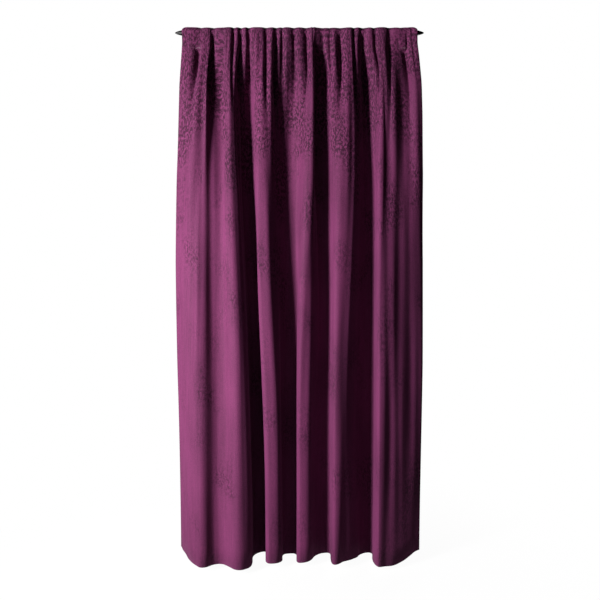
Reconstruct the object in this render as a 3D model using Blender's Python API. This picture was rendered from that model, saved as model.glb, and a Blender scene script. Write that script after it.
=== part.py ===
"""A gathered curtain panel on its pole: brackets, pole, finials, rod pocket and folding cloth.

Metres, +Z up. The wall is the plane y = 0 and the room is towards -Y. The origin lies on the wall
at the height of the pole's axis, midway between the two brackets.
"""

import math

import bpy
from mathutils import Vector

CLEARANCE = 0.0003  # gap between neighbouring pieces
CHAMFER = 0.0008  # on the edges of turned pieces
OVERRUN = 0.010  # how far a cutter runs past what it cuts

# pole and finials
POLE_OUT = 0.110  # from the wall to the pole's axis
POLE_RADIUS = 0.014
POLE_WALL = 0.0012
POLE_HALF = 0.515
FINIAL_LENGTH = 0.058
FINIAL_RADIUS = 0.015
FINIAL_BLUNTNESS = 0.55  # power of the nose's outline: 0.5 is a paraboloid and 1 a cone
SPIGOT_LENGTH = 0.022

# wall brackets
BRACKET_X = 0.470  # to each bracket's centre line
PLATE_RADIUS = 0.028
PLATE_THICK = 0.005
BOSS_RADIUS = 0.011
BOSS_OUT = 0.019  # from the wall to the boss's end
SOCKET_FLOOR = 0.009  # from the wall to the bottom of the boss's socket
WALL_SCREW_OFFSET = 0.019
WALL_SCREW_HOLE = 0.0023
WALL_SCREW_SINK = 0.0045
WALL_SCREW_SINK_DEPTH = 0.0025
ARM_RADIUS = 0.006
CUP_WIDTH = 0.020
CUP_WALL = 0.003
CUP_LIP = 0.006  # height of the cup's two lips above the pole's axis
GRUB_RADIUS = 0.002
GRUB_LENGTH = 0.0042
LOCK_RADIUS = 0.0025
LOCK_BOSS_RADIUS = 0.006
LOCK_BOSS_DROP = 0.0205  # from the pole's axis down to the lock boss's end
LOCK_HEAD_RADIUS = 0.0065
LOCK_HEAD_LENGTH = 0.006

# cloth
CLOTH_THICK = 0.003
FINISHED_DROP = 2.450
FLAT_WIDTH = 2.000
GATHERED_WIDTH = 1.120
FOLD_COUNT = 12
FOLD_ROUNDING = 0.0085  # radius of the cloth's bend at each fold
POCKET_HALF = 0.533
POCKET_BACK_HALF = 0.440  # the pocket's back layer ends here, short of the brackets
POCKET_RADIUS = 0.0217
POCKET_DEPTH = 0.100  # from the top of the cloth to the pocket's seam
POCKET_LEAVES_POLE = 25  # degrees below the pole's axis where the layers leave the round
LABEL_SIZE = (0.045, 0.0008, 0.030)
LABEL_FROM_EDGE = 0.040
LABEL_ABOVE_HEM = 0.160

ROUND = 32  # sides of a turned piece


def clear_scene():
    for item in list(bpy.data.objects):
        bpy.data.objects.remove(item, do_unlink=True)


def material(name, colour, roughness, metallic=0.0):
    made = bpy.data.materials.new(name)
    made.use_nodes = True
    shader = made.node_tree.nodes["Principled BSDF"]
    shader.inputs["Base Color"].default_value = (*colour, 1.0)
    shader.inputs["Roughness"].default_value = roughness
    shader.inputs["Metallic"].default_value = metallic
    return made


def place(name, mesh, at, finish, parent=None, turn=0.0):
    """Put a mesh in the scene as a named piece with its own material."""
    piece = bpy.data.objects.new(name, mesh)
    bpy.context.scene.collection.objects.link(piece)
    piece.location = at
    piece.rotation_euler = (0.0, 0.0, turn)
    piece.parent = parent
    if mesh.materials:
        piece.material_slots[0].link = "OBJECT"
        piece.material_slots[0].material = finish
    else:
        mesh.materials.append(finish)
    return piece


def skin(name, rings, capped=True):
    """Join rings of points into one closed mesh, with end caps or with its last ring on its first."""
    count, sides = len(rings), len(rings[0])
    points = [tuple(point) for ring in rings for point in ring]
    faces = []
    for a in range(count if not capped else count - 1):
        b = (a + 1) % count
        for i in range(sides):
            j = (i + 1) % sides
            faces.append((a * sides + i, a * sides + j, b * sides + j, b * sides + i))
    if capped:
        faces.append(tuple(reversed(range(sides))))
        faces.append(tuple(range((count - 1) * sides, count * sides)))
    mesh = bpy.data.meshes.new(name)
    mesh.from_pydata(points, [], faces)
    return mesh


def smooth(mesh, crease=40):
    mesh.shade_smooth()
    mesh.set_sharp_from_angle(angle=math.radians(crease))
    return mesh


def across(axis):
    """Two unit vectors square to an axis, so that first x second = axis."""
    first = Vector((0, 0, 1)) if abs(axis.z) < 0.5 else Vector((1, 0, 0))
    first = (first - axis * first.dot(axis)).normalized()
    return first, axis.cross(first)


def turned(name, axis, profile, sides=ROUND):
    """A solid of revolution about an axis through its origin, from (distance along, radius) pairs."""
    axis = Vector(axis)
    first, second = across(axis)
    rings = []
    for along, radius in profile:
        turns = (2 * math.pi * i / sides for i in range(sides))
        rings.append(
            [axis * along + (first * math.cos(t) + second * math.sin(t)) * radius for t in turns]
        )
    return smooth(skin(name, rings))


def tube(name, low, high, outer, inner):
    """A round tube along X with open ends."""
    rings = []
    for i in range(ROUND):
        t = 2 * math.pi * i / ROUND
        y, z = math.cos(t), math.sin(t)
        section = ((low, outer), (low, inner), (high, inner), (high, outer))
        rings.append([(x, r * y, r * z) for x, r in section])
    return smooth(skin(name, rings, capped=False))


def arc(radius, start, end, steps):
    """Points (y, z) on a circle about the origin, between two angles in degrees."""
    turns = [math.radians(start + (end - start) * i / steps) for i in range(steps + 1)]
    return [(radius * math.cos(t), radius * math.sin(t)) for t in turns]


def prism_x(name, outline, half):
    """An outline of (y, z) points, anticlockwise seen from +X, extruded along X both ways."""
    return skin(name, [[(x, y, z) for y, z in outline] for x in (-half, half)])


def boolean(piece, operation, name, mesh, at=(0, 0, 0)):
    """Cut or join a piece with a helper mesh, whose place is given in the piece's own frame."""
    helper = bpy.data.objects.new(name, mesh)
    bpy.context.scene.collection.objects.link(helper)
    helper.parent = piece
    helper.location = at
    helper.hide_render = True
    helper.display_type = "WIRE"
    step = piece.modifiers.new(name, "BOOLEAN")
    step.operation = operation
    step.solver = "EXACT"
    step.object = helper


def make_wall_plate(side, x, finish):
    """A round plate with a socketed boss for the arm and two countersunk screw holes."""
    profile = [
        (0, PLATE_RADIUS),
        (PLATE_THICK - CHAMFER, PLATE_RADIUS),
        (PLATE_THICK, PLATE_RADIUS - CHAMFER),
        (PLATE_THICK, BOSS_RADIUS),
        (BOSS_OUT, BOSS_RADIUS),
    ]
    plate = place(f"wall_plate_{side}", turned("wall_plate", (0, -1, 0), profile), (x, 0, 0), finish)
    socket = [(SOCKET_FLOOR, ARM_RADIUS + CLEARANCE), (BOSS_OUT + OVERRUN, ARM_RADIUS + CLEARANCE)]
    boolean(plate, "DIFFERENCE", f"cut_socket_{side}", turned("socket", (0, -1, 0), socket))
    hole = [
        (-OVERRUN, WALL_SCREW_HOLE),
        (PLATE_THICK - WALL_SCREW_SINK_DEPTH, WALL_SCREW_HOLE),
        (PLATE_THICK, WALL_SCREW_SINK),
        (PLATE_THICK + OVERRUN, WALL_SCREW_SINK),
    ]
    for place_name, z in (("upper", WALL_SCREW_OFFSET), ("lower", -WALL_SCREW_OFFSET)):
        cutter = turned("screw_hole", (0, -1, 0), hole, sides=20)
        boolean(plate, "DIFFERENCE", f"cut_{place_name}_hole_{side}", cutter, (0, 0, z))
    grub = [(0, GRUB_RADIUS + CLEARANCE), (BOSS_RADIUS + OVERRUN, GRUB_RADIUS + CLEARANCE)]
    grub_at = (0, -(BOSS_OUT + SOCKET_FLOOR) / 2, 0)
    boolean(plate, "DIFFERENCE", f"cut_grub_{side}", turned("grub", (0, 0, -1), grub, 16), grub_at)


def make_grub_screw(side, x, finish):
    """The small screw under the boss that clamps the arm in its socket."""
    start = ARM_RADIUS + 2 * CLEARANCE
    socket_depth = 2 * CHAMFER
    profile = [
        (start, GRUB_RADIUS - CHAMFER / 2),
        (start + CHAMFER / 2, GRUB_RADIUS),
        (start + GRUB_LENGTH, GRUB_RADIUS),
        (start + GRUB_LENGTH, GRUB_RADIUS / 2),
        (start + GRUB_LENGTH - socket_depth, GRUB_RADIUS / 2),
    ]
    mesh = turned("arm_grub_screw", (0, 0, -1), profile, sides=12)
    place(f"arm_grub_screw_{side}", mesh, (x, -(BOSS_OUT + SOCKET_FLOOR) / 2, 0), finish)


def cup_outline():
    """The open-topped cup under the pole, seen along X, about the pole's axis."""
    inner = POLE_RADIUS + CLEARANCE
    outer = inner + CUP_WALL
    nib = CUP_WALL / 2
    back_lip = [(inner, CUP_LIP), (outer, CUP_LIP)]
    front_lip = [(-outer, CUP_LIP - nib), (-outer + nib, CUP_LIP), (-inner, CUP_LIP - nib)]
    under = arc(outer, 0, -180, 20)
    seat = arc(inner, -180, 0, 20)
    return list(reversed(back_lip + under + front_lip + seat))


def make_bracket_arm(side, x, finish):
    """A round arm out of the wall plate, with the cup that carries the pole on its end."""
    arm = place(
        f"bracket_arm_{side}",
        prism_x("bracket_arm", cup_outline(), CUP_WIDTH / 2),
        (x, -POLE_OUT, 0),
        finish,
    )
    reach = POLE_OUT - SOCKET_FLOOR - CLEARANCE
    bar = [
        (POLE_RADIUS + CUP_WALL / 2, ARM_RADIUS),
        (reach - CHAMFER, ARM_RADIUS),
        (reach, ARM_RADIUS - CHAMFER),
    ]
    boolean(arm, "UNION", f"join_bar_{side}", turned("bar", (0, 1, 0), bar))
    boss = [(POLE_RADIUS + CUP_WALL / 2, LOCK_BOSS_RADIUS), (LOCK_BOSS_DROP, LOCK_BOSS_RADIUS)]
    boolean(arm, "UNION", f"join_lock_boss_{side}", turned("lock_boss", (0, 0, -1), boss, 24))
    hole = [
        (POLE_RADIUS - OVERRUN, LOCK_RADIUS + CLEARANCE),
        (LOCK_BOSS_DROP + OVERRUN, LOCK_RADIUS + CLEARANCE),
    ]
    boolean(arm, "DIFFERENCE", f"cut_lock_{side}", turned("lock_hole", (0, 0, -1), hole, 16))


def make_lock_screw(side, x, finish):
    """The thumbscrew under the cup, its tip just clear of the pole."""
    tip = POLE_RADIUS + CLEARANCE
    head = LOCK_BOSS_DROP + CLEARANCE
    profile = [
        (tip, LOCK_RADIUS - CHAMFER),
        (tip + CHAMFER, LOCK_RADIUS),
        (head, LOCK_RADIUS),
        (head, LOCK_HEAD_RADIUS - CHAMFER),
        (head + CHAMFER, LOCK_HEAD_RADIUS),
        (head + LOCK_HEAD_LENGTH - CHAMFER, LOCK_HEAD_RADIUS),
        (head + LOCK_HEAD_LENGTH, LOCK_HEAD_RADIUS - CHAMFER),
    ]
    mesh = turned("pole_lock_screw", (0, 0, -1), profile, sides=24)
    place(f"pole_lock_screw_{side}", mesh, (x, -POLE_OUT, 0), finish)


def make_finial(side, direction, pole, finish):
    """A pointed nose with a spigot that plugs into the pole's open end."""
    spigot = POLE_RADIUS - POLE_WALL - CLEARANCE
    profile = [
        (-SPIGOT_LENGTH, spigot - CHAMFER),
        (-SPIGOT_LENGTH + CHAMFER, spigot),
        (CLEARANCE, spigot),
        (CLEARANCE, FINIAL_RADIUS - CHAMFER),
        (CLEARANCE + CHAMFER, FINIAL_RADIUS),
    ]
    steps = 14
    tip_radius = CHAMFER / 2
    for i in range(1, steps + 1):
        left = 1 - (i / steps) ** 0.7  # share of the nose still ahead, closer steps near the tip
        radius = max(FINIAL_RADIUS * left**FINIAL_BLUNTNESS, tip_radius)
        profile.append((CLEARANCE + FINIAL_LENGTH - (FINIAL_LENGTH - CHAMFER) * left, radius))
    mesh = turned(f"finial_{side}", (direction, 0, 0), profile)
    place(f"finial_{side}", mesh, (direction * POLE_HALF, 0, 0), finish, parent=pole)


def pocket_outline(radius, foot, drop, steps=22):
    """A drop shape about the pole: round over the top, both layers running down to the seam."""
    leaves = POCKET_LEAVES_POLE
    over = arc(radius, -leaves, 180 + leaves, steps)
    return over + [(-foot, -drop), (foot, -drop)]


def make_rod_pocket(curtain_origin, finish):
    """The sewn sleeve that the pole runs through, open at both ends and cut back for the brackets."""
    drop = POCKET_DEPTH - POCKET_RADIUS
    outer = pocket_outline(POCKET_RADIUS, CLOTH_THICK, drop)
    inner = pocket_outline(POCKET_RADIUS - CLOTH_THICK, CLOTH_THICK / 8, drop - 2 * CLOTH_THICK)
    rings = []
    for (y, z), (inside_y, inside_z) in zip(outer, inner):
        rings.append(
            [
                (-POCKET_HALF, y, z),
                (-POCKET_HALF, inside_y, inside_z),
                (POCKET_HALF, inside_y, inside_z),
                (POCKET_HALF, y, z),
            ]
        )
    pocket = place("rod_pocket", smooth(skin("rod_pocket", rings, capped=False)), curtain_origin, finish)
    long = POCKET_HALF - POCKET_BACK_HALF + 2 * OVERRUN
    above = POCKET_RADIUS + OVERRUN
    behind = [(0.0, -2 * drop), (above, -2 * drop), (above, above), (0.0, above)]
    for side, direction in (("left", -1), ("right", 1)):
        at = (direction * (POCKET_BACK_HALF + long / 2), 0, 0)
        boolean(pocket, "DIFFERENCE", f"cut_back_{side}", prism_x("behind", behind, long / 2), at)
    return pocket


def fold_panel_mesh(width, top, bottom):
    """One flat wall of cloth along +X from its hinge line, with the round bend at its far edge."""
    half = CLOTH_THICK / 2
    meets = math.degrees(math.asin(half / FOLD_ROUNDING))
    bend = [(width + y, z) for y, z in arc(FOLD_ROUNDING, -180 + meets, 180 - meets, 20)]
    start = FOLD_ROUNDING + CLEARANCE
    outline = [(start, half), (start, -half), *bend]
    return skin("fold_panel", [[(x, y, z) for x, y in outline] for z in (bottom, top)])


def make_folds(finish, label_finish):
    """The cloth below the pocket: equal walls in a zigzag, each hinged to the one before it."""
    top = POCKET_RADIUS - POCKET_DEPTH - CLEARANCE
    bottom = POCKET_RADIUS - FINISHED_DROP
    width = FLAT_WIDTH / FOLD_COUNT
    slant = math.acos(GATHERED_WIDTH / FLAT_WIDTH)
    edge = (-GATHERED_WIDTH / 2, -POLE_OUT + width * math.sin(slant) / 2, 0)
    hem = turned("side_hem_fixed", (0, 0, 1), [(bottom, FOLD_ROUNDING), (top, FOLD_ROUNDING)], 20)
    place("side_hem_fixed", hem, edge, finish("side_hem_fixed"))

    mesh = fold_panel_mesh(width, top, bottom)
    fold = place("fold_01", mesh, edge, finish("fold_01"), turn=-slant)
    make_label(fold, bottom, label_finish)
    for number in range(2, FOLD_COUNT + 1):
        turn = 2 * slant if number % 2 == 0 else -2 * slant
        name = f"fold_{number:02d}"
        fold = place(name, mesh, (width, 0, 0), finish(name), parent=fold, turn=turn)


def make_label(fold, bottom, finish):
    """A small blank label sewn behind the fixed edge, just above the hem."""
    long, thick, tall = (side / 2 for side in LABEL_SIZE)
    outline = [(-thick, -tall), (thick, -tall), (thick, tall), (-thick, tall)]
    at = (LABEL_FROM_EDGE, CLOTH_THICK / 2 + CLEARANCE + thick, bottom + LABEL_ABOVE_HEM)
    place("care_label", prism_x("care_label", outline, long), at, finish, parent=fold)


def build():
    clear_scene()

    def black(name):
        return material(name, (0.012, 0.012, 0.013), 0.45, 0.6)

    def screw(name):
        return material(name, (0.035, 0.035, 0.037), 0.35, 0.9)

    def velvet(name):
        return material(name, (0.155, 0.028, 0.090), 0.85)

    sides = (("left", -1), ("right", 1))
    for side, direction in sides:
        x = direction * BRACKET_X
        make_wall_plate(side, x, black(f"wall_plate_{side}"))
        make_grub_screw(side, x, screw(f"arm_grub_screw_{side}"))
        make_bracket_arm(side, x, black(f"bracket_arm_{side}"))
        make_lock_screw(side, x, screw(f"pole_lock_screw_{side}"))

    pole_mesh = tube("pole_tube", -POLE_HALF, POLE_HALF, POLE_RADIUS, POLE_RADIUS - POLE_WALL)
    pole = place("pole_tube", pole_mesh, (0, -POLE_OUT, 0), black("pole_tube"))
    for side, direction in sides:
        make_finial(side, direction, pole, black(f"finial_{side}"))

    make_rod_pocket((0, -POLE_OUT, 0), velvet("rod_pocket"))
    make_folds(velvet, material("care_label", (0.75, 0.73, 0.70), 0.6))


build()
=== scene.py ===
"""A plum velvet curtain panel gathered on a black pole, with its brackets, stitching and label.

The cloth is one surface, cloth(across, run): across goes from 0 at the left edge to 1 at the right
edge, and run is the distance along the cloth from the top of the pole, positive down the front and
negative down the back of the rod pocket. Everything sewn to the cloth is placed on that surface.
"""

import math

import bmesh
import bpy
import numpy as np
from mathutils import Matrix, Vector


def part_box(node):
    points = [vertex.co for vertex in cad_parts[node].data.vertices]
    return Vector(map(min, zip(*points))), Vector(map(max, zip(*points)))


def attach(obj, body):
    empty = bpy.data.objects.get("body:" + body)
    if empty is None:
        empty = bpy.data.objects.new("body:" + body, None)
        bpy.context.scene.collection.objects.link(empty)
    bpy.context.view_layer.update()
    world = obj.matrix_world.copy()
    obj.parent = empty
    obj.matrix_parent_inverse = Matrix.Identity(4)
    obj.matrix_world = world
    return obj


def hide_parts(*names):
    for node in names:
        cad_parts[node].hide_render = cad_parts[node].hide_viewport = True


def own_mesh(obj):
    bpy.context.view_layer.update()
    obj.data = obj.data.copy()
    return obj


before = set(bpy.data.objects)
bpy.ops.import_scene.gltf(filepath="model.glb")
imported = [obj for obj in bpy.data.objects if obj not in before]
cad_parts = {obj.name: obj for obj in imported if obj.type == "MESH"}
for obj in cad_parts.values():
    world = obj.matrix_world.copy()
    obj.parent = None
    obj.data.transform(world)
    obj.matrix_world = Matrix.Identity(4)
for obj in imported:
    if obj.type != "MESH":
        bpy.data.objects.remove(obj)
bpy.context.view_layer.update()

# ---------------------------------------------------------------------------------------------
# Places, read from the frame
# ---------------------------------------------------------------------------------------------


def middle(node):
    low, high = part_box(node)
    return (np.array(low) + np.array(high)) / 2


def size(node):
    low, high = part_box(node)
    return np.array(high) - np.array(low)


POLE_Y = middle("pole_tube")[1]
POLE_RADIUS = size("pole_tube")[2] / 2
POLE_HALF = size("pole_tube")[0] / 2
POCKET_HALF = size("rod_pocket")[0] / 2
POCKET_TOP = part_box("rod_pocket")[1][2]
SEAM_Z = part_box("rod_pocket")[0][2]
HEM_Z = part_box("fold_01")[0][2]
BRACKET_X = middle("wall_plate_right")[0]
LABEL_Z = middle("care_label")[2]

# ---------------------------------------------------------------------------------------------
# The cloth's driving sizes, in metres
# ---------------------------------------------------------------------------------------------

FLAT_WIDTH = 2.00
CLOTH_THICK = 0.0014
POCKET_SIDE = 0.031  # how far the pocket's layers stand out from the pole's axis
CUP_CLEAR = 0.0205  # how far the front layer stays ahead of the pole's axis at the brackets
POLE_GAP = 0.0020  # the gap that room_to_pole aims at; folds and ripples take up most of it
POCKET_LEAVES = math.radians(105)  # where the layers leave the pole, from its top
SEAM_OUT = 0.024  # how far in front of the pole's axis the pocket's seam hangs
SEAM_TO_PLUMB = 0.60  # run below the seam over which the cloth comes back under the pole
LAYER_GAP = 0.0015  # between the pocket's two layers at the seam
ROUND_RUN = 0.0475  # run from the pole's top to where the front layer leaves the pole
SEAM_RUN = 0.1215  # run from the pole's top down to the pocket's seam
HEM_RUN = SEAM_RUN + (SEAM_Z - HEM_Z)
FOLD_DEPTH = 0.150  # from the back of the folds to the front, where they are fully open
BACK_LAYER_HALF = 0.437  # the pocket's back layer stops here, short of the brackets
MOUTH_SLANT = 0.030  # how far the pocket's mouths lean in at the top of the pole
MOUTH_FROM = 0.42  # how far along the pole that lean begins
MOUTH_RUN = 0.045  # run from the pole's top over which it ends
BOTTOM_HEM = 0.080
SIDE_HEM = 0.025
HEM_GAP = 0.0030  # how far a hem's turned layer stands behind the face
HEM_INSET = 0.003  # how far inside a hem's edge its stitches run
EDGE_TURN = 0.0008

# Fold lines from left to right: place across near the heading and near the hem, how far forward
# the line stands at the heading and at the hem, from 0 at the back to 1 at the front, and the run
# by which it has reached its hem place. The first and last lines lie beyond the free edges, which
# end part of the way along a wall.
FOLD_LINES = (
    (-0.646, -0.637, -0.20, -0.63, 2.2),
    (-0.434, -0.448, 0.87, 0.88, 2.0),
    (-0.402, -0.384, 0.40, 0.69, 1.0),
    (-0.368, -0.372, 0.26, 0.67, 1.0),
    (-0.326, -0.266, 0.90, 1.00, 1.6),
    (-0.254, -0.176, 0.06, 0.00, 2.35),
    (-0.168, -0.132, 0.88, 0.70, 2.35),
    (-0.046, -0.030, 0.04, 0.02, 2.2),
    (0.054, 0.004, 0.86, 0.58, 2.0),
    (0.080, 0.130, 0.10, 0.05, 1.5),
    (0.212, 0.166, 0.90, 0.77, 1.8),
    (0.250, 0.208, 0.80, 0.62, 1.8),
    (0.318, 0.334, 0.02, -0.06, 1.6),
    (0.388, 0.362, 0.84, 0.84, 1.4),
    (0.408, 0.400, 0.79, 0.74, 1.1),
    (0.430, 0.442, 0.86, 0.62, 1.1),
    (0.482, 0.486, 0.50, 0.48, 1.1),
    (0.534, 0.530, 0.70, 0.33, 1.1),
    (0.614, 0.614, 0.20, 0.03, 1.1),
)
LEFT_EDGE_SHARE = 0.35  # where the free edges lie along the first and the last wall
RIGHT_EDGE_SHARE = 0.50

# Darts pinched in by the gathering: place across at the seam and where the dart runs out, half
# its width, its depth, and how far down it fades.
DARTS = (
    (-0.462, -0.494, 0.0150, 0.025, 0.34),
    (-0.394, -0.380, 0.0190, 0.026, 0.26),
    (-0.302, -0.292, 0.0100, 0.022, 0.16),
    (-0.268, -0.258, 0.0130, 0.027, 0.24),
    (-0.233, -0.226, 0.0095, 0.021, 0.34),
    (-0.153, -0.138, 0.0105, 0.019, 0.22),
    (-0.106, -0.098, 0.0085, 0.021, 0.34),
    (-0.078, -0.074, 0.0065, 0.011, 0.07),
    (-0.026, -0.036, 0.0095, 0.021, 0.30),
    (0.029, 0.006, 0.0120, 0.021, 0.31),
    (0.062, 0.064, 0.0060, 0.006, 0.08),
    (0.106, 0.104, 0.0125, 0.022, 0.26),
    (0.138, 0.134, 0.0080, 0.017, 0.14),
    (0.188, 0.164, 0.0150, 0.022, 0.34),
    (0.252, 0.252, 0.0120, 0.022, 0.34),
    (0.294, 0.300, 0.0180, 0.030, 0.28),
    (0.343, 0.338, 0.0130, 0.021, 0.30),
    (0.416, 0.386, 0.0120, 0.016, 0.32),
    (0.480, 0.480, 0.0125, 0.022, 0.34),
    (0.518, 0.520, 0.0060, 0.006, 0.10),
)

# ---------------------------------------------------------------------------------------------
# The cloth's surface
# ---------------------------------------------------------------------------------------------


def ease(value, low, high):
    """0 below low, 1 above high, and a smooth S between."""
    t = np.clip((value - low) / (high - low), 0.0, 1.0)
    return t * t * (3.0 - 2.0 * t)


def mix(a, b, share):
    """The value a share of the way from a to b."""
    return a + (b - a) * share


def bell(value, middle_at, spread_by):
    """1 at the middle, falling off both ways as exp(-square)."""
    return np.exp(-(((value - middle_at) / spread_by) ** 2))


LINES = np.array(FOLD_LINES)
LAST_LINE = len(LINES) - 1


def depth_share(run):
    """How far the folds have opened: 0.10 at the seam, plus 0.55 that comes soon, as 1 - exp(-way
    down / 0.22), and 0.35 that comes slowly, down to 2 m."""
    soon = 1 - np.exp(-np.maximum(run - SEAM_RUN, 0) / 0.22)
    return 0.10 + 0.55 * soon + 0.35 * ease(run, 0.3, 2.0)


def half_width(run):
    """Half the panel's width, as a share of its width at the heading lines."""
    at = (0.0, 0.10, 0.16, 0.28, 0.42, 0.70, 1.10, 1.60, 2.10, 2.45)
    share = (0.936, 0.938, 0.950, 0.972, 0.985, 1.004, 1.012, 1.010, 0.998, 0.988)
    return np.interp(run, at, share)


def line_place(line, run):
    """Where a fold line stands in plan at a given run: x, and y about the middle of the folds."""
    line = np.clip(line, 0, LAST_LINE)
    down = ease(run, 0.25, LINES[line, 4])
    x = mix(LINES[line, 0], LINES[line, 1], down) * half_width(run)
    forward = mix(LINES[line, 2], LINES[line, 3], down)
    return x, (0.5 - forward) * FOLD_DEPTH * depth_share(run)


def tangent(before, after):
    """The slope at a line from the slopes on its two sides: none where they differ in sign."""
    same = before * after > 0
    total = np.where(same, before + after, 1.0)
    return np.where(same, 2 * before * after / total, 0.0)


def wall(line, share, run):
    """A stretch of cloth between two fold lines, in plan.

    y is a cubic between the lines, level at each crest and valley and keeping its slope where the
    wall carries on past a line. x runs as share + c sin(2 pi share) / (2 pi), so the cloth bunches
    round at both lines and doubles back between them where c passes 1. With g the wall's steepness
    |dy / dx|, c is 0.80 g^1.4 up to 1.35 where the wall rises towards the room from the left, and
    otherwise 0.45 g^3 near the heading, growing to 1.50 g^3 near the hem, up to 1.25. It is 0.3 of
    that where the wall carries on past a line, and 0 in the two edge walls. Returns x, y and the
    plan normal towards the room.
    """
    (xa, ya), (x0, y0), (x1, y1), (xb, yb) = (line_place(line + step, run) for step in (-1, 0, 1, 2))
    dx, dy = x1 - x0, y1 - y0
    slope = dy / dx
    first, last = line == 0, line == LAST_LINE - 1
    before = np.where(first, slope, (y0 - ya) / np.where(first, 1.0, x0 - xa))
    after = np.where(last, slope, (yb - y1) / np.where(last, 1.0, xb - x1))
    m0, m1 = tangent(before, slope) * dx, tangent(slope, after) * dx

    rising = dy < 0
    steep = np.abs(slope)
    falling_bulge = np.minimum(mix(0.45, 1.50, ease(run, 0.8, 2.2)) * steep**3, 1.25)
    bulge = np.where(rising, np.minimum(0.80 * steep**1.4, 1.35), falling_bulge)
    bulge = np.where((m0 != 0) | (m1 != 0), 0.3, 1.0) * bulge
    bulge = np.where(first | last, 0.0, bulge)
    s = share
    x = x0 + dx * (s + bulge * np.sin(2 * np.pi * s) / (2 * np.pi))
    y = y0 + dy * s**2 * (3 - 2 * s) + m0 * s * (1 - s) ** 2 - m1 * s**2 * (1 - s)
    x_rate = dx * (1 + bulge * np.cos(2 * np.pi * s))
    y_rate = 6 * dy * s * (1 - s) + m0 * (1 - s) * (1 - 3 * s) - m1 * s * (2 - 3 * s)
    length = np.hypot(x_rate, y_rate)
    return x, y, y_rate / length, -x_rate / length


def line_places():
    """Where the fold lines lie across the flat cloth, from the walls' lengths near mid height."""
    steps, mid_run = 60, 1.3
    share = np.linspace(0, 1, steps)
    lengths = []
    for line in range(LAST_LINE):
        x, y, _, _ = wall(np.full(steps, line), share, np.full(steps, mid_run))
        lengths.append(np.hypot(np.diff(x), np.diff(y)).sum())
    along = np.concatenate([[0.0], np.cumsum(lengths)])
    start = along[1] * LEFT_EDGE_SHARE
    end = mix(along[-2], along[-1], RIGHT_EDGE_SHARE)
    return (along - start) / (end - start)


LINE_AT = line_places()


def plan(across, run):
    """The plan position and normal of the folds at a place across the cloth."""
    line = np.clip(np.searchsorted(LINE_AT, across, side="right") - 1, 0, LAST_LINE - 1)
    share = (across - LINE_AT[line]) / (LINE_AT[line + 1] - LINE_AT[line])
    return wall(line, share, run)


def across_at(x):
    """The places across the cloth that lie at given x at the seam."""
    fine = np.linspace(0, 1, 4001)
    seam_x = plan(fine, np.full(fine.shape, SEAM_RUN))[0]
    return np.interp(x, seam_x, fine)


def dart_depth(across, run):
    """How far the darts go in.

    Each is depth exp(-(distance from its line / half its width) ^ 1.4) across, a sharp V with round
    shoulders, and fades downwards as exp(-(way below the seam / reach) ^ 1.8). Its line moves to
    its end place over 1.5 times the reach. All of them nearly close over the pole's top, and go in
    deeper a little below the seam.
    """
    below = np.maximum(run - SEAM_RUN, 0)
    total = np.zeros(np.shape(across))
    for x_top, x_end, half, depth, reach in DARTS:
        top, end = across_at(x_top), across_at(x_end)
        at = mix(top, end, np.minimum(below / (1.5 * reach), 1))
        crease = np.exp(-(np.abs((across - at) * 2 * POCKET_HALF / half) ** 1.4))
        total += depth * crease * np.exp(-((below / reach) ** 1.8))
    return total * (1 - 0.95 * bell(run, 0, 0.028)) * (1 + 0.7 * bell(run, 0.24, 0.11))


RIPPLES = np.random.default_rng(11).uniform(0, 1, (26, 4))


def ripples(across, run):
    """Faint long wrinkles: sine waves of many widths, each leaning a little as it runs down and
    coming and going along its length."""
    total = np.zeros(np.shape(across))
    for width, lean, start, height in RIPPLES:
        wave = mix(9.0, 46.0, width)
        phase = 2 * np.pi * (across * wave + run * mix(-0.55, 0.55, lean) + start)
        level = np.sin(phase) * np.sin(2 * np.pi * (run * mix(0.12, 0.45, height) + lean + start))
        total += level * mix(0.0012, 0.0002, width)
    fade = mix(1.5, 0.8, ease(run, 0.2, 1.2)) * ease(run, 0.02, 0.15)
    return total * fade


def pocket_path(run):
    """The pocket in section: round over the pole, then straight down to the seam.

    Returns y about the pole's axis, the height, the outward slope and how far down the straight
    part the place is. The back layer passes under the pole to meet the front layer at the seam.
    """
    way = np.abs(run)
    turn = np.clip(way / ROUND_RUN, 0, 1) * POCKET_LEAVES
    straight = np.clip((way - ROUND_RUN) / (SEAM_RUN - ROUND_RUN), 0, 1)
    out = POCKET_SIDE * np.sin(turn)
    front = -mix(out, SEAM_OUT, straight)
    back = mix(out, LAYER_GAP - SEAM_OUT, straight)
    height = mix(POCKET_TOP * np.cos(turn), SEAM_Z, straight)
    level, up = np.sin(turn) / POCKET_SIDE, np.cos(turn) / POCKET_TOP
    length = np.hypot(level, up)
    return np.where(run < 0, back, front), height, level / length, up / length, straight


def room_to_pole(stand, height, level, up):
    """How far the cloth may move in along its inward normal (level, -up) before it meets the pole.

    The line of that move passes the pole's axis at the distance miss: where it would hit the pole,
    the room is the way to the hit, and past a near miss it grows by four times what it misses by.
    The normal gets shorter than 1 where the back layer changes sides, and counts as 0.2 at least.
    Only the pocket's section is reckoned with, not the folds and ripples that are added to it.
    """
    clear = POLE_RADIUS + CLOTH_THICK + POLE_GAP
    scale = np.maximum(np.hypot(level, up), 0.2)
    along = (height * up - stand * level) / scale
    miss = np.sqrt(np.maximum(stand**2 + height**2 - along**2, 0))
    room = along - np.sqrt(np.maximum(clear**2 - miss**2, 0)) + 4 * np.maximum(miss - clear, 0)
    return np.where(along > 0, np.maximum(room, 0) / scale, 1.0)


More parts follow.
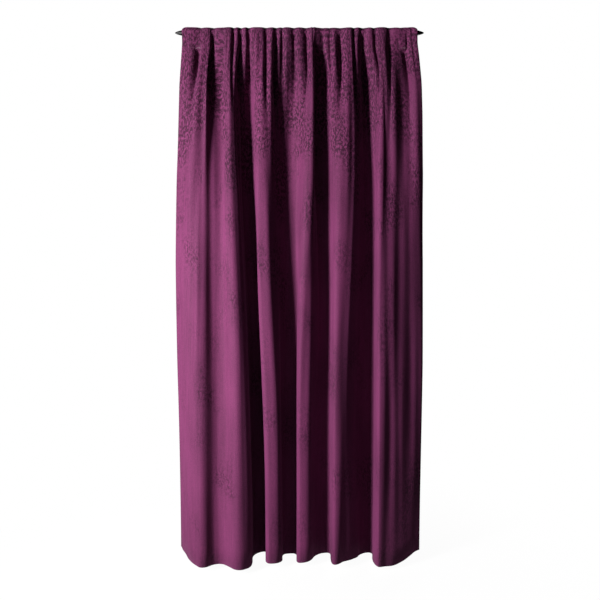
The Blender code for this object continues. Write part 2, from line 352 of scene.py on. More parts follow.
def front_limit(x, run):
    """The y that the front layer stays ahead of, so that the pole lifts out past the brackets' cups
    with the cloth on it, gathered or spread.

    It holds within reach of each bracket, further on the left, where drawing the curtain brings more
    cloth to the cup. To the sides, over the pole and below the seam it moves off behind the cloth.
    """
    reach = np.where(x < 0, 0.034, 0.014)
    fade, moved_off = 0.020, 0.12
    beside = ease(np.abs(np.abs(x) - BRACKET_X), reach, reach + fade)
    released = np.maximum(1 - ease(run, 0.018, 0.038), ease(run, 0.108, 0.200))
    return POLE_Y - CUP_CLEAR + moved_off * np.maximum(beside, released)


def hem_lift(across, run):
    """The hem's unevenness, growing downwards: lifted at both edges, dipping beside the right one,
    with two sine waves of 4 and 2 mm between, and 4 mm lower as a whole."""
    down = ease(run, 0.9, HEM_RUN)
    edges = 0.030 * bell(across, 0, 0.045) + 0.022 * bell(across, 1, 0.035)
    edges = edges - 0.010 * bell(across, 0.91, 0.035)
    wave = 0.004 * np.sin(2 * np.pi * (3.2 * across + 0.15)) + 0.002 * np.sin(2 * np.pi * 7.3 * across)
    return down * (edges + wave - 0.004)


def cloth(across, run, offset=0.0):
    """A point of the cloth, or one that stands off its face by offset, as an array of x, y, z.

    Below the seam it is the folds' plan at that run, hung from the seam's y and coming back under the
    pole by SEAM_TO_PLUMB. In the pocket it is the plan at the seam, laid along the pocket's section.
    Ripples and darts then move it along its normal, and it is kept ahead of front_limit by a
    smooth minimum, rounded over limit_round.
    """
    across, run = np.broadcast_arrays(np.asarray(across, float), np.asarray(run, float))
    front = np.maximum(run, SEAM_RUN)
    x, y, nx, ny = plan(across, front)
    pocket = run < SEAM_RUN
    behind = run < 0
    narrow = half_width(np.abs(run)) / half_width(front)
    x = x * np.where(pocket, narrow, 1.0)
    lean = np.sign(x) * MOUTH_SLANT * ease(np.abs(x), MOUTH_FROM, POCKET_HALF)
    x = x - lean * (1 - ease(np.abs(run), 0, MOUTH_RUN))

    stand, height, level, up, straight = pocket_path(run)
    forward = -SEAM_OUT * (1 - ease(run, SEAM_RUN, SEAM_RUN + SEAM_TO_PLUMB))
    y = POLE_Y + np.where(pocket, y * straight + stand, y + forward)
    z = np.where(pocket, height, SEAM_Z - (run - SEAM_RUN)) + hem_lift(across, run)

    at_bracket = bell(np.abs(x), BRACKET_X, 0.024) * (1 - ease(np.abs(run), 0.06, 0.12))
    side = np.where(behind, mix(-1.0, 1.0, straight), 1.0)  # which way out is, for the back layer
    level = np.where(pocket, level * side, 1.0)
    up = np.where(pocket, up, 0.0)
    room = np.where(pocket, room_to_pole(stand, height, level, up), 1.0)
    inward = np.minimum(dart_depth(across, np.abs(run)), room) * (1 - 0.48 * at_bracket)
    out_by = ripples(across, np.abs(run)) - inward + offset * side
    x, y = x + nx * out_by * np.abs(level), y + ny * out_by * level
    beyond = y - front_limit(x, run)
    limit_round = 0.003
    y = y - (beyond + np.hypot(beyond, limit_round)) / 2
    return np.stack([x, y, z + out_by * up], axis=-1)


# ---------------------------------------------------------------------------------------------
# Meshes
# ---------------------------------------------------------------------------------------------


def add_mesh(name, points, faces, material, uv=None, uv_name="cloth"):
    """Put a smooth mesh in the scene, leaving out points that no face uses."""
    used, faces = np.unique(faces, return_inverse=True)
    faces = faces.reshape(-1, 4)
    points = np.asarray(points).reshape(-1, 3)[used]
    mesh = bpy.data.meshes.new(name)
    mesh.from_pydata(points.tolist(), [], faces.tolist())
    if uv is not None:
        layer = mesh.uv_layers.new(name=uv_name)
        layer.data.foreach_set("uv", np.asarray(uv).reshape(-1, 2)[used][faces.ravel()].ravel())
    mesh.polygons.foreach_set("use_smooth", [True] * len(faces))
    mesh.update()
    mesh.materials.append(material)
    piece = bpy.data.objects.new(name, mesh)
    bpy.context.scene.collection.objects.link(piece)
    return piece


def grid_faces(rows, columns, around=False, flip=False):
    """The quads of a grid of points stored row by row, joined back to its first column if around."""
    row = np.arange(rows - 1)[:, None] * columns
    column = np.arange(columns if around else columns - 1)[None, :]
    after = (column + 1) % columns
    quads = np.stack([row + column, row + after, row + columns + after, row + columns + column], axis=-1)
    quads = quads.reshape(-1, 4)
    return quads[:, ::-1] if flip else quads


def weld(piece, crease=None):
    """Join the points that meet at poles and seams, and keep edges sharper than crease degrees hard."""
    form = bmesh.new()
    form.from_mesh(piece.data)
    bmesh.ops.remove_doubles(form, verts=form.verts, dist=1e-6)
    bmesh.ops.recalc_face_normals(form, faces=form.faces)
    form.to_mesh(piece.data)
    form.free()
    if crease:
        piece.data.set_sharp_from_angle(angle=math.radians(crease))
    return piece


def spread(*stretches):
    """Values through several stretches, each (from, to, count), without repeating their joins."""
    parts = [np.linspace(low, high, count, endpoint=False) for low, high, count in stretches]
    return np.concatenate([*parts, [stretches[-1][1]]])


def make_curtain(face, ground):
    """The panel: face, side hems and bottom hem turned to the back, rod pocket over the pole."""
    side = SIDE_HEM / FLAT_WIDTH
    turn = EDGE_TURN / FLAT_WIDTH
    turned_columns, open_columns = 5, 530
    across = np.concatenate(
        [
            np.linspace(side, turn, turned_columns),
            [0.0],
            spread((turn, 1 - turn, open_columns)),
            [1.0],
            np.linspace(1 - turn, 1 - side, turned_columns),
        ]
    )
    side_offset = np.zeros(len(across))
    side_offset[:turned_columns] = side_offset[-turned_columns:] = -HEM_GAP
    side_offset[turned_columns] = side_offset[-turned_columns - 1] = -HEM_GAP / 2

    run = np.concatenate(
        [
            spread((-SEAM_RUN, -ROUND_RUN, 6), (-ROUND_RUN, 0, 9), (0, ROUND_RUN, 11)),
            spread((ROUND_RUN + 0.008, SEAM_RUN - 0.006, 7), (SEAM_RUN - 0.006, SEAM_RUN + 0.012, 4)),
            spread((SEAM_RUN + 0.024, 0.55, 17), (0.55, 1.1, 12), (1.1, HEM_RUN - EDGE_TURN, 17)),
            [HEM_RUN],
            np.linspace(HEM_RUN - EDGE_TURN, HEM_RUN - BOTTOM_HEM, 4),
        ]
    )
    hem_offset = np.zeros(len(run))
    hem_offset[-4:] = -HEM_GAP
    hem_offset[-5] = -HEM_GAP / 2
    below_pocket = run > SEAM_RUN + 1e-6

    wide, tall = np.meshgrid(across, run)
    offset = side_offset[None, :] * below_pocket[:, None] + hem_offset[:, None]
    points = cloth(wide, tall, offset)
    uv = np.stack([wide * FLAT_WIDTH, HEM_RUN - tall], axis=-1)

    faces = grid_faces(*wide.shape, flip=True)
    centre_x = points.reshape(-1, 3)[faces][:, :, 0].mean(axis=1)
    column = np.arange(len(faces)) % (len(across) - 1)
    cut_back = (tall.ravel()[faces].max(axis=1) < -0.004) & (np.abs(centre_x) > BACK_LAYER_HALF)
    turned = (column <= turned_columns) | (column >= len(across) - 2 - turned_columns)
    in_pocket = tall.ravel()[faces].min(axis=1) < SEAM_RUN - 1e-6
    piece = add_mesh("curtain_cloth", points, faces[~cut_back & ~(turned & in_pocket)], face, uv)
    piece.data.materials.append(ground)
    thick = piece.modifiers.new("thickness", "SOLIDIFY")
    thick.thickness = CLOTH_THICK
    thick.offset = -1.0
    thick.material_offset = 1
    return piece


def make_stitches(name, across, run, offset, along, length, thread, material):
    """Short raised threads on the cloth, each a tapered tube that dips in at both ends.

    along is the stitch's direction, (1, 0) across the cloth or (0, 1) down it. A point of the tube
    is the cloth's surface raised by offset + thread cos(turn), at a distance thread sin(turn) to
    the side, and both ends sink below the surface as the square of the distance from the middle. A
    thread below 0 raises the stitch from the cloth's back instead.
    """
    step = np.array([-1.0, -0.72, 0.0, 0.72, 1.0])
    turn = np.arange(6) * np.pi / 3
    thick = thread * np.array([0.0, 0.85, 1.0, 0.85, 0.0])[None, :, None]
    forward = (step * length / 2)[None, :, None]
    sideways = thick * np.sin(turn)[None, None, :]
    raised = offset + thick * np.cos(turn)[None, None, :] - 1.2 * thread * (step**2)[None, :, None]
    move_across = (along[0] * forward + along[1] * sideways) / FLAT_WIDTH
    move_run = along[1] * forward - along[0] * sideways
    points = cloth(across[:, None, None] + move_across, run[:, None, None] + move_run, raised)
    ring = grid_faces(len(step), len(turn), around=True)
    starts = np.arange(len(across)) * len(step) * len(turn)
    faces = (starts[:, None, None] + ring[None]).reshape(-1, 4)
    return weld(add_mesh(name, points, faces, material))


def rounded(profile, bend, steps=3):
    """A profile with its corners eased: each corner becomes a short curve that stays inside it.

    The curve starts and ends bend away from the corner, or a third of the way along a shorter side,
    and its points are (1 - t)^2 start + 2 t (1 - t) corner + t^2 end.
    """
    points = np.array(profile, float)
    before, corner, after = points[:-2], points[1:-1], points[2:]

    def cut(towards):
        way = towards - corner
        length = np.linalg.norm(way, axis=1, keepdims=True)
        return corner + way * np.minimum(bend / length, 1 / 3)

    t = np.linspace(0, 1, steps + 1)[None, :, None]
    start, end = cut(before)[:, None], cut(after)[:, None]
    curve = (1 - t) ** 2 * start + 2 * t * (1 - t) * corner[:, None] + t**2 * end
    return np.concatenate([points[:1], curve.reshape(-1, 2), points[-1:]])


def turned(name, profile, axis, centre, material, sides=96, relief=None):
    """A surface of revolution: (distance along the axis, radius) pairs turned about the axis.

    relief, if given, is a function of (row, angle) that returns a factor for the radius.
    """
    profile = np.asarray(profile)
    turn = np.arange(sides) * 2 * np.pi / sides
    axis = np.array(axis, float)
    first = np.array([0.0, 0.0, 1.0]) if abs(axis[2]) < 0.5 else np.array([1.0, 0.0, 0.0])
    second = np.cross(axis, first)
    radius = np.repeat(profile[:, 1:2], sides, axis=1)
    if relief is not None:
        radius = radius * relief(profile[:, 0:1], turn[None, :])
    round_way = first * np.cos(turn)[:, None] + second * np.sin(turn)[:, None]
    points = np.array(centre) + profile[:, 0, None, None] * axis + radius[:, :, None] * round_way[None]
    faces = grid_faces(len(profile), sides, around=True)
    return weld(add_mesh(name, points, faces, material), crease=50)


def make_pole(material):
    """The steel tube, with eased ends and a wall that shows when a finial is pulled off."""
    wall_thick = 0.0012
    inner = POLE_RADIUS - wall_thick
    section = [
        (0.0, inner),
        (-POLE_HALF, inner),
        (-POLE_HALF, POLE_RADIUS),
        (POLE_HALF, POLE_RADIUS),
        (POLE_HALF, inner),
        (0.0, inner),
    ]
    return turned("pole", rounded(section, 0.0004), (1, 0, 0), (0, POLE_Y, 0), material)


def make_finial(side, direction, material):
    """A pointed nose on a narrow collar, with the spigot that plugs into the pole.

    The nose's radius is R (s / length) ^ 0.55, with s measured back from its tip, and its rows
    close up towards the tip.
    """
    low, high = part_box(f"finial_{side}")
    outer = (high[2] - low[2]) / 2
    length = max(abs(low[0]), abs(high[0])) - POLE_HALF
    gap, collar, groove = 0.0003, 0.005, 0.0006
    spigot, spigot_long = POLE_RADIUS - 0.0015, 0.022
    base = [
        (-spigot_long, 0.0),
        (-spigot_long, spigot - 0.0025),
        (0.0015 - spigot_long, spigot),
        (gap, spigot),
        (gap, outer),
        (collar, outer),
        (collar + groove, outer - groove),
        (collar + 2 * groove, outer - groove / 2),
    ]
    left = (1 - np.linspace(0, 1, 40)[1:] ** 0.6)[:, None]
    start = collar + 2 * groove
    nose = np.hstack([length - (length - start) * left, (outer - groove / 2) * left**0.55])
    profile = np.concatenate([rounded(base, 0.0005), nose])
    pole_end = (direction * POLE_HALF, POLE_Y, 0)
    return turned(f"nose_finial_{side}", profile, (direction, 0, 0), pole_end, material)


def make_lock_screw(side, material):
    """The thumbscrew under the cup: a plain shank with cut threads and a knurled, dished head."""
    low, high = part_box(f"pole_lock_screw_{side}")
    head = (high[0] - low[0]) / 2
    tip, end = -high[2], -low[2]
    head_top = end - 0.006
    shank, pitch, thread_deep = 0.0025, 0.0007, 0.0002
    threads = np.arange(tip + 0.0008, head_top - pitch, pitch / 2)
    ridges = np.stack([threads, shank - thread_deep * (np.arange(len(threads)) % 2)], axis=1)
    cap = [
        (head_top, shank - thread_deep),
        (head_top, head),
        (end, head),
        (end, head - 0.0016),
        (end - 0.0007, head - 0.0022),
        (end - 0.0007, 0.0),
    ]
    profile = np.concatenate([[(tip, 0.0), (tip, shank - 0.0006)], ridges, rounded(cap, 0.0006)])

    def knurl(along, angle):
        on_side = ease(along, head_top + 0.0006, head_top + 0.0012)
        on_side = on_side * (1 - ease(along, end - 0.0012, end - 0.0006))
        return 1 - 0.045 * on_side * np.abs(np.sin(18 * angle))

    centre = ((low[0] + high[0]) / 2, POLE_Y, 0)
    name = f"thumbscrew_{side}"
    return turned(name, profile, (0, 0, -1), centre, material, sides=144, relief=knurl)


def make_grub_screw(side, material):
    """The small screw under the boss, with a six-sided socket for its key."""
    low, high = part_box(f"arm_grub_screw_{side}")
    outer = (high[0] - low[0]) / 2
    start, end = -high[2], -low[2]
    key, deep = outer * 0.52, 0.0016
    body = [
        (start, 0.0),
        (start, outer),
        (end, outer),
        (end, key * 1.2),
        (end, key),
        (end - deep, key),
        (end - deep, 0.0),
    ]

    def socket(along, angle):
        flat = np.cos(np.pi / 6) / np.cos((angle % (np.pi / 3)) - np.pi / 6)
        return np.where(rows_in_socket, flat, 1.0)

    profile = rounded(body, 0.00025)
    rows_in_socket = (profile[:, 1:2] <= key * 1.01) & (profile[:, 0:1] > start + 0.0005)
    centre = ((low[0] + high[0]) / 2, (low[1] + high[1]) / 2, 0)
    name = f"grub_screw_{side}"
    return turned(name, profile, (0, 0, -1), centre, material, sides=48, relief=socket)


def eased_copy(node, material, bend=0.0005):
    """A merged copy of a cast or welded piece, with its sharp edges rounded as a coating leaves them."""
    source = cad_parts[node]
    mesh = source.data.copy()
    piece = bpy.data.objects.new(f"{node}_coated", mesh)
    bpy.context.scene.collection.objects.link(piece)
    mesh.materials.clear()
    mesh.materials.append(material)
    weld(piece)
    form = bmesh.new()
    form.from_mesh(mesh)
    bmesh.ops.dissolve_limit(form, angle_limit=math.radians(1), verts=form.verts, edges=form.edges)
    form.to_mesh(mesh)
    form.free()
    mesh.polygons.foreach_set("use_smooth", [True] * len(mesh.polygons))
    soften = piece.modifiers.new("soft_edges", "BEVEL")
    soften.width = bend
    soften.segments = 2
    soften.limit_method = "ANGLE"
    soften.angle_limit = math.radians(35)
    soften.harden_normals = True
    return piece


def make_label(material):
    """A blank woven label, curling a little away from the cloth, sewn to the back of the left side hem.
    """
    wide, tall, from_edge = 0.045, 0.030, 0.006
    columns, rows = 24, 18
    stand_off = -(HEM_GAP + 0.0006)
    across, down = np.meshgrid(np.linspace(0, 1, columns), np.linspace(0, 1, rows))
    curl = 0.0010 * down**2 + 0.0006 * (2 * across - 1) ** 2 * down
    run = HEM_RUN - (LABEL_Z - HEM_Z) + (down - 0.5) * tall
    points = cloth((from_edge + across * wide) / FLAT_WIDTH, run, stand_off - curl)
    uv = np.stack([across * wide, -down * tall], axis=-1)
    piece = add_mesh("blank_label", points, grid_faces(rows, columns), material, uv)
    thick = piece.modifiers.new("thickness", "SOLIDIFY")
    thick.thickness = 0.0004
    thick.offset = 0.0
    return piece


# ---------------------------------------------------------------------------------------------
# Materials: small helpers, then the shared effects, then each finish
# ---------------------------------------------------------------------------------------------


def add(tree, kind, inputs=None, **settings):
    """A shader node with its settings, and its inputs given as values or as other nodes' outputs."""
    node = tree.nodes.new(kind)
    for name, value in settings.items():
        setattr(node, name, value)
    for name, value in (inputs or {}).items():
        if isinstance(value, bpy.types.NodeSocket):
            tree.links.new(value, node.inputs[name])
        else:
            node.inputs[name].default_value = value
    return node


def sum_up(tree, operation, first, second=0.0, third=0.0):
    """One step of arithmetic on values: ADD, MULTIPLY, or MULTIPLY_ADD as first * second + third."""
    return add(tree, "ShaderNodeMath", {0: first, 1: second, 2: third}, operation=operation).outputs[0]


def noise(tree, place, scale, detail=2.0, roughness=0.5, warp=0.0):
    inputs = {"Vector": place, "Scale": scale, "Detail": detail}
    inputs |= {"Roughness": roughness, "Distortion": warp}
    return add(tree, "ShaderNodeTexNoise", inputs).outputs[0]


def stretched(tree, place, scale):
    return add(tree, "ShaderNodeMapping", {"Vector": place, "Scale": scale}).outputs[0]


def between(tree, value, low, high, to_low=0.0, to_high=1.0):
    """A value moved smoothly from one range to another, and held at its ends."""
    inputs = {"Value": value, "From Min": low, "From Max": high, "To Min": to_low, "To Max": to_high}
    return add(tree, "ShaderNodeMapRange", inputs, interpolation_type="SMOOTHSTEP").outputs[0]


def blended(tree, share, low, high):
    node = add(tree, "ShaderNodeMix", {0: share}, data_type="RGBA")
    node.inputs[6].default_value, node.inputs[7].default_value = (*low, 1), (*high, 1)
    return node.outputs[2]


def effect(name, inputs, outputs):
    """An empty node group with named inputs {name: default} and value outputs."""
    tree = bpy.data.node_groups.new(name, "ShaderNodeTree")
    for socket, default in inputs.items():
        kind = "NodeSocketVector" if default is None else "NodeSocketFloat"
        made = tree.interface.new_socket(name=socket, in_out="INPUT", socket_type=kind)
        if default is not None:
            made.default_value = default
    for socket in outputs:
        tree.interface.new_socket(name=socket, in_out="OUTPUT", socket_type="NodeSocketFloat")
    return tree, tree.nodes.new("NodeGroupInput").outputs, tree.nodes.new("NodeGroupOutput").inputs


def use(tree, group, **inputs):
    """Put a shared effect in a material with its own values and return its outputs."""
    return add(tree, "ShaderNodeGroup", inputs, node_tree=group).outputs


def pile_crush_and_top_shade_effect():
    """Crush in velvet, and painted shade along the top of the pocket over the pole.

    The crush is small blots, a fine noise cut to light and dark, times patches, a coarse noise
    that is raised with the height above the hem, so that most of them are near the heading. The
    painted shade darkens the cloth within 12 mm of the pole's top and fades out by 30 mm, where
    the pocket's upward-facing top gets no light.
    """
    tree, given, gives = effect("pile_crush_and_top_shade", {"Place": None, "Amount": 1.0}, ("Shade", "Height"))
    place = given["Place"]
    above_hem = add(tree, "ShaderNodeSeparateXYZ", {0: place}).outputs[1]
    more_above = between(tree, above_hem, 1.5, 2.42, -0.03, 0.17)
    stronger_above = between(tree, above_hem, 1.0, 2.1, 0.48, 1.0)
    cloud = noise(tree, stretched(tree, place, (1, 0.62, 1)), 6.5, 3.0)
    cloud = sum_up(tree, "ADD", cloud, more_above)
    patch = sum_up(tree, "MULTIPLY", between(tree, cloud, 0.45, 0.68, 0.14, 1.0), stronger_above)
    blot = noise(tree, stretched(tree, place, (1, 0.6, 1)), 105.0, 3.0, 0.66, 0.25)
    marked = between(tree, blot, 0.40, 0.60)
    shade = sum_up(tree, "MULTIPLY", sum_up(tree, "SUBTRACT", marked, 0.85), patch)
    # Painted shade along the pocket's top over the pole: darkest within 12 mm of the pole's top, gone by
    # 30 mm.
    from_top = sum_up(tree, "ABSOLUTE", sum_up(tree, "SUBTRACT", above_hem, HEM_RUN))
    shade = sum_up(tree, "ADD", shade, between(tree, from_top, 0.012, 0.030, -0.9, 0.0))
    tree.links.new(sum_up(tree, "MULTIPLY", shade, given["Amount"]), gives["Shade"])
    tree.links.new(sum_up(tree, "MULTIPLY", marked, patch), gives["Height"])
    return tree


def pile_lay_effect():
    """The way the pile lies: long brushed streaks down the cloth over broad stroked patches."""
    tree, given, gives = effect("pile_lay", {"Place": None, "Amount": 1.0}, ("Shade", "Height"))
    streaks = noise(tree, stretched(tree, given["Place"], (1, 0.05, 1)), 85.0, 4.0, 0.6)
    patches = noise(tree, stretched(tree, given["Place"], (1, 0.4, 1)), 5.0, 2.0, 0.5, 0.4)
    streaked = sum_up(tree, "MULTIPLY", streaks, 0.55)
    both = sum_up(tree, "ADD", streaked, sum_up(tree, "MULTIPLY", patches, 0.75))
    shade = sum_up(tree, "SUBTRACT", both, 0.65)
    tree.links.new(sum_up(tree, "MULTIPLY", shade, given["Amount"]), gives["Shade"])
    tree.links.new(streaks, gives["Height"])
    return tree


def grain_effect():
    """Fine even grain, such as pile tips, a sprayed coat or turned metal."""
    tree, given, gives = effect("grain", {"Place": None, "Size": 0.001}, ("Shade", "Height"))
    scale = sum_up(tree, "DIVIDE", 1.0, given["Size"])
    coarse = noise(tree, given["Place"], scale, 2.0, 0.6)
    fine = noise(tree, given["Place"], sum_up(tree, "MULTIPLY", scale, 3.1), 1.0)
    tree.links.new(sum_up(tree, "SUBTRACT", coarse, 0.5), gives["Shade"])
    tree.links.new(sum_up(tree, "MULTIPLY_ADD", fine, 0.4, coarse), gives["Height"])
    return tree


def weave_effect():
    """Plain weave: threads over and under each other as a product of two sines, with slubs."""
    tree, given, gives = effect("weave", {"Place": None, "Pitch": 0.001}, ("Shade", "Height"))
    turns = sum_up(tree, "DIVIDE", 2 * math.pi, given["Pitch"])
    x, y, _ = add(tree, "ShaderNodeSeparateXYZ", {0: given["Place"]}).outputs
    waves = [sum_up(tree, "SINE", sum_up(tree, "MULTIPLY", way, turns)) for way in (x, y)]
    over = sum_up(tree, "MULTIPLY", *waves)
    slubs = noise(tree, stretched(tree, given["Place"], (1, 0.08, 1)), 420.0, 3.0)
    tree.links.new(sum_up(tree, "MULTIPLY_ADD", over, 0.25, slubs), gives["Shade"])
    tree.links.new(sum_up(tree, "MULTIPLY_ADD", over, 0.5, slubs), gives["Height"])
    return tree


def rubbed_edges_effect():
    """Wear on outward edges, broken up so that it comes and goes."""
    tree, given, gives = effect("rubbed_edges", {"Place": None, "Amount": 1.0}, ("Mask",))
    edge = between(tree, add(tree, "ShaderNodeNewGeometry").outputs["Pointiness"], 0.52, 0.60)
    broken = between(tree, noise(tree, given["Place"], 160.0, 3.0, 0.6), 0.42, 0.62)
    rubbed = sum_up(tree, "MULTIPLY", edge, broken)
    tree.links.new(sum_up(tree, "MULTIPLY", rubbed, given["Amount"]), gives["Mask"])
    return tree


def new_material(name, roughness, uv=None, metallic=0.0):
    """A material with its shader and the coordinates its patterns follow, all in metres."""
    made = bpy.data.materials.new(name)
    made.use_nodes = True
    tree = made.node_tree
    shader = tree.nodes["Principled BSDF"]
    shader.inputs["Roughness"].default_value = roughness
    shader.inputs["Metallic"].default_value = metallic
    if uv:
        place = add(tree, "ShaderNodeUVMap", uv_map=uv).outputs[0]
    else:
        place = add(tree, "ShaderNodeTexCoord").outputs["Object"]
    return made, tree, shader, place


def raise_surface(tree, shader, layers):
    """Chain bumps onto a shader: (height, distance in metres, strength) from coarse to fine."""
    normal = None
    for height, distance, strength in layers:
        inputs = {"Height": height, "Distance": distance, "Strength": strength}
        if normal is not None:
            inputs["Normal"] = normal
        normal = add(tree, "ShaderNodeBump", inputs).outputs[0]
    tree.links.new(normal, shader.inputs["Normal"])


def velvet_face(crush_and_top_shade_group, lay, grain):
    """Plum velvet: short glossy pile that brightens where it leans to the light."""
    made, tree, shader, place = new_material("velvet_face", 0.78, uv="cloth")
    # This group's Shade holds the crush and also the painted shade along the pocket's top over the pole.
    crush_and_top_shade = use(tree, crush_and_top_shade_group, Place=place, Amount=1.0)
    brushed = use(tree, lay, Place=place, Amount=0.9)
    tips = use(tree, grain, Place=place, Size=0.0042)
    share = sum_up(tree, "ADD", sum_up(tree, "ADD", crush_and_top_shade["Shade"], brushed["Shade"]), 0.58)
    share = sum_up(tree, "MULTIPLY_ADD", tips["Shade"], 1.05, share)
    colour = blended(tree, share, (0.028, 0.0037, 0.0165), (0.140, 0.0236, 0.0825))
    tree.links.new(colour, shader.inputs["Base Color"])
    shader.inputs["Specular IOR Level"].default_value = 0.14
    shader.inputs["Sheen Weight"].default_value = 0.26
    shader.inputs["Sheen Roughness"].default_value = 0.38
    shader.inputs["Sheen Tint"].default_value = (0.85, 0.30, 0.62, 1)
    layers = (
        (crush_and_top_shade["Height"], 0.0009, 0.5),
        (brushed["Height"], 0.0006, 0.25),
        (tips["Height"], 0.0004, 0.4),
    )
    raise_surface(tree, shader, layers)
    return made


def velvet_ground(weave, lay):
    """The back of the velvet: its plain woven ground, duller and a little redder than the pile."""
    made, tree, shader, place = new_material("velvet_ground", 0.9, uv="cloth")
    threads = use(tree, weave, Place=place, Pitch=0.0011)
    brushed = use(tree, lay, Place=place, Amount=0.6)
    share = sum_up(tree, "ADD", threads["Shade"], brushed["Shade"])
    colour = blended(tree, share, (0.045, 0.008, 0.024), (0.095, 0.022, 0.052))
    tree.links.new(colour, shader.inputs["Base Color"])
    shader.inputs["Specular IOR Level"].default_value = 0.2
    shader.inputs["Sheen Weight"].default_value = 0.15
    shader.inputs["Sheen Tint"].default_value = (0.7, 0.4, 0.55, 1)
    raise_surface(tree, shader, ((brushed["Height"], 0.0006, 0.4), (threads["Height"], 0.0002, 0.6)))
    return made


def black_powder_coat(grain, rubbed):
    """Black sprayed coat with a fine orange-peel texture, rubbed to grey steel on its edges."""
    made, tree, shader, place = new_material("black_powder_coat", 0.42)
    peel = use(tree, grain, Place=place, Size=0.0009)
    worn = use(tree, rubbed, Place=place, Amount=0.75)["Mask"]
    colour = blended(tree, worn, (0.0040, 0.0040, 0.0044), (0.10, 0.097, 0.094))
    shader.inputs["Specular IOR Level"].default_value = 0.18
    tree.links.new(colour, shader.inputs["Base Color"])
    smears = noise(tree, place, 22.0, 3.0)
    roughness = sum_up(tree, "MULTIPLY_ADD", smears, 0.22, 0.30)
    tree.links.new(roughness, shader.inputs["Roughness"])
    tree.links.new(worn, shader.inputs["Metallic"])
    raise_surface(tree, shader, ((peel["Height"], 0.00012, 0.6),))
    return made


def blackened_steel(grain, rubbed):
    """The screws: black oxide steel, brighter where fingers and keys have rubbed it."""
    made, tree, shader, place = new_material("blackened_steel", 0.34, metallic=1.0)
    lathe = use(tree, grain, Place=stretched(tree, place, (0.2, 0.2, 1)), Size=0.0004)
    worn = use(tree, rubbed, Place=place, Amount=0.9)["Mask"]
    share = sum_up(tree, "MULTIPLY_ADD", lathe["Shade"], 0.15, worn)
    colour = blended(tree, share, (0.045, 0.045, 0.05), (0.42, 0.41, 0.40))
    tree.links.new(colour, shader.inputs["Base Color"])
    roughness = sum_up(tree, "MULTIPLY_ADD", lathe["Shade"], 0.3, 0.34)
    tree.links.new(roughness, shader.inputs["Roughness"])
    raise_surface(tree, shader, ((lathe["Height"], 0.00006, 0.5),))
    return made


def sewing_thread(grain):
    """Plum polyester thread with a soft shine."""
    made, tree, shader, place = new_material("sewing_thread", 0.5)
    fibres = use(tree, grain, Place=place, Size=0.0005)
    share = sum_up(tree, "MULTIPLY_ADD", fibres["Shade"], 1.0, 0.5)
    colour = blended(tree, share, (0.055, 0.010, 0.032), (0.130, 0.031, 0.080))
    tree.links.new(colour, shader.inputs["Base Color"])
    raise_surface(tree, shader, ((fibres["Height"], 0.0001, 0.5),))
    return made


def label_satin(weave, grain):
    """The blank label: off-white woven satin with fine ribs and a faintly uneven tone."""
    made, tree, shader, place = new_material("label_satin", 0.5, uv="cloth")
    ribs = use(tree, weave, Place=place, Pitch=0.0009)
    handled = use(tree, grain, Place=place, Size=0.012)
    share = sum_up(tree, "ADD", handled["Shade"], 0.25)
    share = sum_up(tree, "MULTIPLY_ADD", ribs["Shade"], 0.5, share)
    colour = blended(tree, share, (0.44, 0.42, 0.39), (0.62, 0.60, 0.57))
    tree.links.new(colour, shader.inputs["Base Color"])
    shader.inputs["Sheen Weight"].default_value = 0.2
    raise_surface(tree, shader, ((ribs["Height"], 0.00015, 0.7),))
    return made


# ---------------------------------------------------------------------------------------------
# Stage
# ---------------------------------------------------------------------------------------------


def make_camera():
    """A level camera at the middle of the drop, as far off as a person would stand."""
    distance = 2.35
    view_height = 2.764
    data = bpy.data.cameras.new("camera")
    data.sensor_fit = "HORIZONTAL"
    data.angle = 2 * math.atan(view_height / 2 / distance)
    camera = bpy.data.objects.new("camera", data)
    camera.location = (0.0025, POLE_Y - distance, -1.230)
    camera.rotation_euler = (math.radians(90), 0, 0)
    bpy.context.scene.collection.objects.link(camera)
    bpy.context.scene.camera = camera


def area_light(name, at, towards, size_wide, size_tall, power, colour=(1, 1, 1)):
    data = bpy.data.lights.new(name, "AREA")
    data.shape = "RECTANGLE"
    data.size, data.size_y = size_wide, size_tall
    data.energy = power
    data.color = colour
    light = bpy.data.objects.new(name, data)
    light.location = at
    way = Vector(towards) - Vector(at)
    light.rotation_euler = way.to_track_quat("-Z", "Y").to_euler()
    bpy.context.scene.collection.objects.link(light)


def make_world():
    """White where the camera looks past the object, and a very faint fill everywhere else."""
    world = bpy.data.worlds.new("studio")
    world.use_nodes = True
    bpy.context.scene.world = world
    tree = world.node_tree
    tree.nodes.clear()
    seen = add(tree, "ShaderNodeBackground", {"Color": (1, 1, 1, 1), "Strength": 1.0})
    fill = add(tree, "ShaderNodeBackground", {"Color": (1, 0.97, 1, 1), "Strength": 0.005})
    path = add(tree, "ShaderNodeLightPath")
    choose = add(tree, "ShaderNodeMixShader", {0: path.outputs["Is Camera Ray"]})
    tree.links.new(fill.outputs[0], choose.inputs[1])
    tree.links.new(seen.outputs[0], choose.inputs[2])
    tree.links.new(choose.outputs[0], tree.nodes.new("ShaderNodeOutputWorld").inputs[0])


